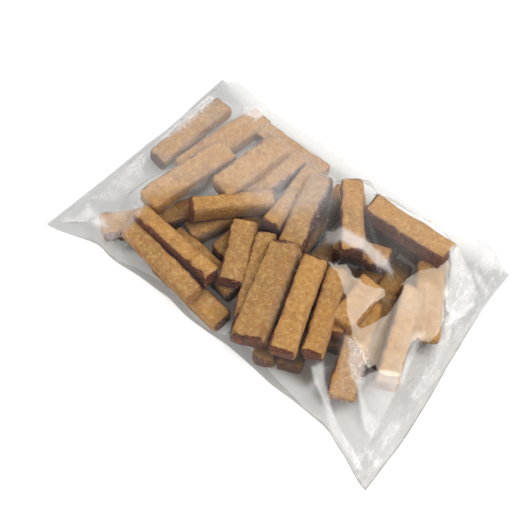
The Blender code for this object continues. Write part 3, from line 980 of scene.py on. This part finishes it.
# ---- Materials ----
class Nodes:
    """A material's node tree, written as calls that return the output socket of each new node."""

    def __init__(self, name):
        self.material = bpy.data.materials.new(name)
        self.material.use_nodes = True
        self.tree = self.material.node_tree
        self.tree.nodes.clear()

    def add(self, kind, out=0, settings=None, **inputs):
        """A new node. An input is called by its name, or by its number as in i0."""
        node = self.tree.nodes.new(kind)
        for key, value in (settings or {}).items():
            setattr(node, key, value)
        for key, value in inputs.items():
            socket = node.inputs[int(key[1:]) if key[1:].isdigit() else key.replace("_", " ")]
            if isinstance(value, bpy.types.NodeSocket):
                self.tree.links.new(value, socket)
            else:
                socket.default_value = value
        return node.outputs[out]

    def math(self, operation, first, second=0.0, clamp=False):
        return self.add("ShaderNodeMath", settings={"operation": operation, "use_clamp": clamp},
                        i0=first, i1=second)

    def plus(self, first, second, clamp=False):
        return self.math("ADD", first, second, clamp)

    def times(self, first, second):
        return self.math("MULTIPLY", first, second)

    def attribute(self, name, out="Fac"):
        return self.add("ShaderNodeAttribute", out=out, settings={"attribute_name": name})

    def noise(self, vector, scale, detail=3.0, roughness=0.55, distortion=0.0):
        return self.add("ShaderNodeTexNoise", Vector=vector, Scale=scale, Detail=detail,
                        Roughness=roughness, Distortion=distortion)

    def ramp(self, factor, low, high):
        """0 below low, 1 above high and smooth between."""
        return self.add("ShaderNodeMapRange", settings={"interpolation_type": "SMOOTHSTEP"},
                        i0=factor, i1=low, i2=high, i3=0.0, i4=1.0)

    def mix(self, factor, first, second):
        return self.add("ShaderNodeMix", 2, {"data_type": "RGBA"}, i0=factor, i6=first, i7=second)

    def mix_shader(self, factor, first, second):
        return self.add("ShaderNodeMixShader", i0=factor, i1=first, i2=second)

    def finish(self, shader):
        out = self.tree.nodes.new("ShaderNodeOutputMaterial")
        self.tree.links.new(shader, out.inputs["Surface"])
        return self.material


def toast_material():
    """Fried bread: golden and mottled, rough with small pits, its crust and ends dark red-brown, with
    painted shade on the side turned from the light, on the lower sides and deep below the film.
    """
    n = Nodes("toast_crust")
    place = n.attribute("grain", "Vector")
    golden = (0.58, 0.285, 0.066, 1.0)
    greyed = (0.44, 0.225, 0.070, 1.0)
    pale = (0.80, 0.50, 0.175, 1.0)
    amber = (0.46, 0.180, 0.034, 1.0)
    tan = (0.27, 0.080, 0.017, 1.0)
    pit = (0.10, 0.028, 0.008, 1.0)
    # near black of the painted shade deep below the film
    painted_depth_shade = (0.040, 0.010, 0.004, 1.0)
    end = (0.060, 0.013, 0.006, 1.0)
    rind = (0.31, 0.080, 0.022, 1.0)

    pores = n.noise(place, 520.0, 4.0, 0.7, 0.4)
    crumb = n.noise(place, 1100.0, 3.0, 0.7)
    patches = n.noise(place, 190.0, 5.0, 0.68, 0.4)
    toasted = n.noise(place, 120.0, 5.0, 0.72, 0.3)
    spots = n.noise(place, 300.0, 2.0, 0.5, 0.2)
    across = n.add("ShaderNodeVectorMath", 0, {"operation": "MULTIPLY"}, i0=place, i1=(1.0, 0.30, 0.30))
    ripples = n.noise(across, 430.0, 3.0, 0.6, 0.9)

    cloudy = n.plus(n.noise(place, 40.0, 2.0), n.times(n.attribute("tint"), 0.25))
    colour = n.mix(n.ramp(cloudy, 0.45, 0.80), golden, greyed)
    # Where each layer lies, how strong it is and its colour, from the lowest up
    # The browned layer also carries the painted shade on the sticks' lower sides
    for mask, share, over in ((n.ramp(patches, 0.44, 0.66), 0.65, pale),
                              (n.ramp(toasted, 0.53, 0.66), 0.60, amber),
                              (n.attribute("browned_and_shade"), 0.80, tan),
                              (n.ramp(pores, 0.44, 0.28), 0.70, pit),
                              (n.ramp(ripples, 0.44, 0.32), 0.45, tan),
                              (n.ramp(crumb, 0.52, 0.68), 0.34, tan),
                              (n.ramp(crumb, 0.48, 0.32), 0.45, pale),
                              (n.ramp(spots, 0.65, 0.74), 0.80, rind)):
        colour = n.mix(n.times(mask, share), colour, over)
    # The crust, partly painted shade on the side turned from the light, with a ragged border
    ragged = n.times(n.math("SUBTRACT", n.noise(place, 330.0, 4.0, 0.6), 0.5), 1.3)
    crust_and_shade = n.ramp(n.plus(n.attribute("crust_and_shade"), ragged), 0.30, 0.68)
    colour = n.mix(crust_and_shade, colour, n.mix(n.ramp(pores, 0.40, 0.66), end, rind))
    # Painted shade: the further below the film a place lies, in the gaps and on the lowest sticks, the
    # darker
    gloom = n.times(n.ramp(n.attribute("cover"), 0.006, 0.025), 0.88)
    colour = n.mix(gloom, colour, painted_depth_shade)

    height = n.plus(n.plus(n.times(pores, 0.55), n.times(crumb, 0.25)), n.times(ripples, 0.35))
    normal = n.add("ShaderNodeBump", Strength=1.0, Distance=0.003, Height=height)
    shader = n.add("ShaderNodeBsdfPrincipled", Base_Color=colour, Roughness=0.9, Normal=normal)
    return n.finish(shader)


def thin_film(n, clear_colour, haze, milk_colour, wrinkle_scale, wrinkle_strength):
    """A see-through sheet with some milk in it and a soft gloss that grows at a glancing view."""
    lit_from_behind, gloss_ahead, gloss_aside, broad_share = 0.20, 0.011, 0.13, 0.45
    place = n.add("ShaderNodeTexCoord", out="Object")
    wrinkle = n.noise(place, wrinkle_scale, 2.0, 0.5, 1.2)
    normal = n.add("ShaderNodeBump", Strength=wrinkle_strength, Distance=0.0008, Height=wrinkle)
    clear = n.add("ShaderNodeBsdfTransparent", Color=clear_colour)
    milk_front = n.add("ShaderNodeBsdfDiffuse", Color=milk_colour, Normal=normal)
    milk_back = n.add("ShaderNodeBsdfTranslucent", Color=milk_colour, Normal=normal)
    body = n.mix_shader(haze, clear, n.mix_shader(lit_from_behind, milk_front, milk_back))
    facing = n.add("ShaderNodeLayerWeight", out="Facing", Blend=0.5, Normal=normal)
    gloss = n.plus(n.times(n.math("POWER", facing, 5.0), gloss_aside), gloss_ahead, True)
    sharp, broad = (n.add("ShaderNodeBsdfGlossy", Color=WHITE, Roughness=roughness, Normal=normal)
                    for roughness in (0.18, 0.45))
    return n.mix_shader(gloss, body, n.mix_shader(broad_share, sharp, broad))


def film_material():
    """The bag's top: milky with frost in some places, darker along its very edge, with painted highlight
    and shade in streaks, crinkles and bright panels, and greyed by painted shade beside the left seal
    and in the right ear.
    """
    n = Nodes("film_clear")
    place = n.add("ShaderNodeTexCoord", out="Object")
    streaked = n.attribute("streaks", "Vector")
    slack = n.attribute("slack")
    cloud = n.noise(place, 34.0, 4.0, 0.6)

    stand_off = n.times(n.ramp(n.attribute("gap"), 0.0004, 0.016), 0.008)
    haze = n.times(n.plus(n.attribute("veil"), stand_off), n.plus(cloud, 0.50))
    torn = n.times(n.math("SUBTRACT", n.noise(place, 60.0, 3.0, 0.55), 0.5), 0.007)
    frosted = n.ramp(n.plus(n.attribute("frosted"), torn), -0.0007, 0.0007)
    frosted = n.times(frosted, n.times(n.plus(cloud, 0.42), FROSTED_SHARE))
    # Painted highlights and shade in streaks along the seals: pale milk lines, and darker film beside
    # them
    lines = n.noise(streaked, 210.0, 4.0, 0.6, 0.8)
    fine_highlight_streaks = n.noise(streaked, 620.0, 3.0, 0.6, 0.5)
    for mask in (n.ramp(lines, 0.52, 0.66), n.ramp(fine_highlight_streaks, 0.56, 0.64)):
        haze = n.plus(haze, n.times(n.times(mask, slack), 0.20))
    # Painted highlights: white lines over the crinkled places
    crinkles = n.math("ABSOLUTE", n.math("SUBTRACT", n.noise(place, 95.0, 3.0, 0.55, 0.9), 0.5))
    haze = n.plus(haze, n.times(n.ramp(crinkles, 0.030, 0.004), n.attribute("crinkle_highlight")))
    haze = n.plus(n.plus(haze, frosted), 0.003, True)
    milk = n.mix(n.ramp(frosted, 0.0, FROSTED_SHARE), MILK, WARM_MILK)

    uneven = n.times(n.noise(place, 70.0, 3.0), 0.0026)
    edge = n.ramp(n.attribute("border"), uneven, n.plus(uneven, 0.0010))
    clear = n.mix(edge, FILM_EDGE, CLEAR_FILM)
    # Painted shade beside the pale streak lines
    shaded = n.times(n.ramp(lines, 0.46, 0.34), slack)
    clear = n.mix(n.times(shaded, 0.8), clear, STREAKED_FILM)
    # Painted shade that greys the film beside the left seal and in the right ear
    clear = n.mix(n.attribute("grey"), clear, GREYER_FILM)
    return n.finish(thin_film(n, clear, haze, milk, 190.0, 0.25))


def underside_material():
    """The bag's underside, darker below the heap: painted shade there, with some grease and crumbs."""
    n = Nodes("film_underside")
    # Painted shade, with some grease: darker where the film lies far above and a stick is near
    under_heap = n.ramp(n.attribute("heap"), 0.022, 0.010)
    gloom = n.times(n.ramp(n.attribute("cover"), 0.012, 0.030), under_heap)
    clear = n.mix(gloom, UNDER_FILM, UNDER_HEAP)
    return n.finish(thin_film(n, clear, 0.02, MILK, 60.0, 0.2))


def grain_material(name, colour, roughness):
    n = Nodes(name)
    place = n.add("ShaderNodeTexCoord", out="Object")
    darker = tuple(0.8 * share for share in colour[:3]) + (1.0,)
    uneven = n.mix(n.noise(place, 400.0, 2.0), colour, darker)
    return n.finish(n.add("ShaderNodeBsdfPrincipled", Base_Color=uneven, Roughness=roughness))


def floor_material():
    n = Nodes("floor_white")
    return n.finish(n.add("ShaderNodeBsdfPrincipled", Base_Color=FLOOR_WHITE, Roughness=0.9,
                          Emission_Color=FLOOR_WHITE, Emission_Strength=0.28))


# ---- Stage ----
def make_floor():
    """A white surface just below the bag, and much larger."""
    bpy.ops.mesh.primitive_plane_add(size=6.0, location=(0, 0, -0.0002))
    floor = bpy.context.object
    floor.name = "floor"
    floor.data.materials.append(floor_material())


def direction(azimuth, elevation):
    """Unit way from the bag to something that looks at it from there."""
    turn, rise = math.radians(azimuth), math.radians(elevation)
    return Vector((math.sin(turn) * math.cos(rise), -math.cos(turn) * math.cos(rise), math.sin(rise)))


def aim(thing, place, target):
    thing.location = place
    thing.rotation_euler = (Vector(target) - Vector(place)).to_track_quat("-Z", "Y").to_euler()


def make_light(name, azimuth, elevation, distance, size, watts):
    data = bpy.data.lights.new(name, "AREA")
    data.shape = "DISK"
    data.size = size
    data.energy = watts
    aim(new_object(name, data), direction(azimuth, elevation) * distance, (0, 0, 0))


def make_world(strength):
    world = bpy.data.worlds.new("studio")
    world.use_nodes = True
    background = world.node_tree.nodes["Background"]
    background.inputs["Color"].default_value = WHITE
    background.inputs["Strength"].default_value = strength
    bpy.context.scene.world = world


def make_camera():
    data = bpy.data.cameras.new("camera")
    data.sensor_width = SENSOR
    data.lens = CAMERA_LENS
    camera = new_object("camera", data)
    target = Vector(CAMERA_AIM)
    aim(camera, target + direction(CAMERA_AZIMUTH, CAMERA_ELEVATION) * CAMERA_DISTANCE, target)
    bpy.context.scene.camera = camera


def show_as_photographed():
    view = bpy.context.scene.view_settings
    view.view_transform = "Standard"
    view.look = "None"


def main():
    sticks = make_sticks(toast_material())
    heap_tree = surface_tree(sticks)
    film_top, film_place = make_film_top(heap_tree, film_material())
    film_bottom = make_film_bottom(underside_material())
    film_tree = surface_tree(film_top)
    # Distances from the film and from the heap, for the painted shade below them
    store_distance(sticks, "cover", film_tree)
    store_distance(film_bottom, "cover", film_tree)
    store_distance(film_bottom, "heap", heap_tree)
    frost = make_grains("frost", FROST, film_place, GRAIN_SEED, grain_material("frost_white", ICE, 0.5))
    crumbs = make_grains("crumbs", CRUMBS, film_place, GRAIN_SEED + 1,
                         grain_material("crumb_brown", CRUMB, 0.9))

    for piece, slot in ((sticks, "toast"), (crumbs, "toast"), (film_top, "film"), (film_bottom, "film"),
                        (frost, "film")):
        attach(piece, "root")
        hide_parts("bag")

    make_floor()
    make_world(strength=0.84)
    make_light("key", azimuth=128.0, elevation=60.0, distance=3.0, size=2.4, watts=78.0)
    make_light("fill", azimuth=-35.0, elevation=44.0, distance=3.0, size=2.6, watts=19.0)
    make_camera()
    show_as_photographed()


main()
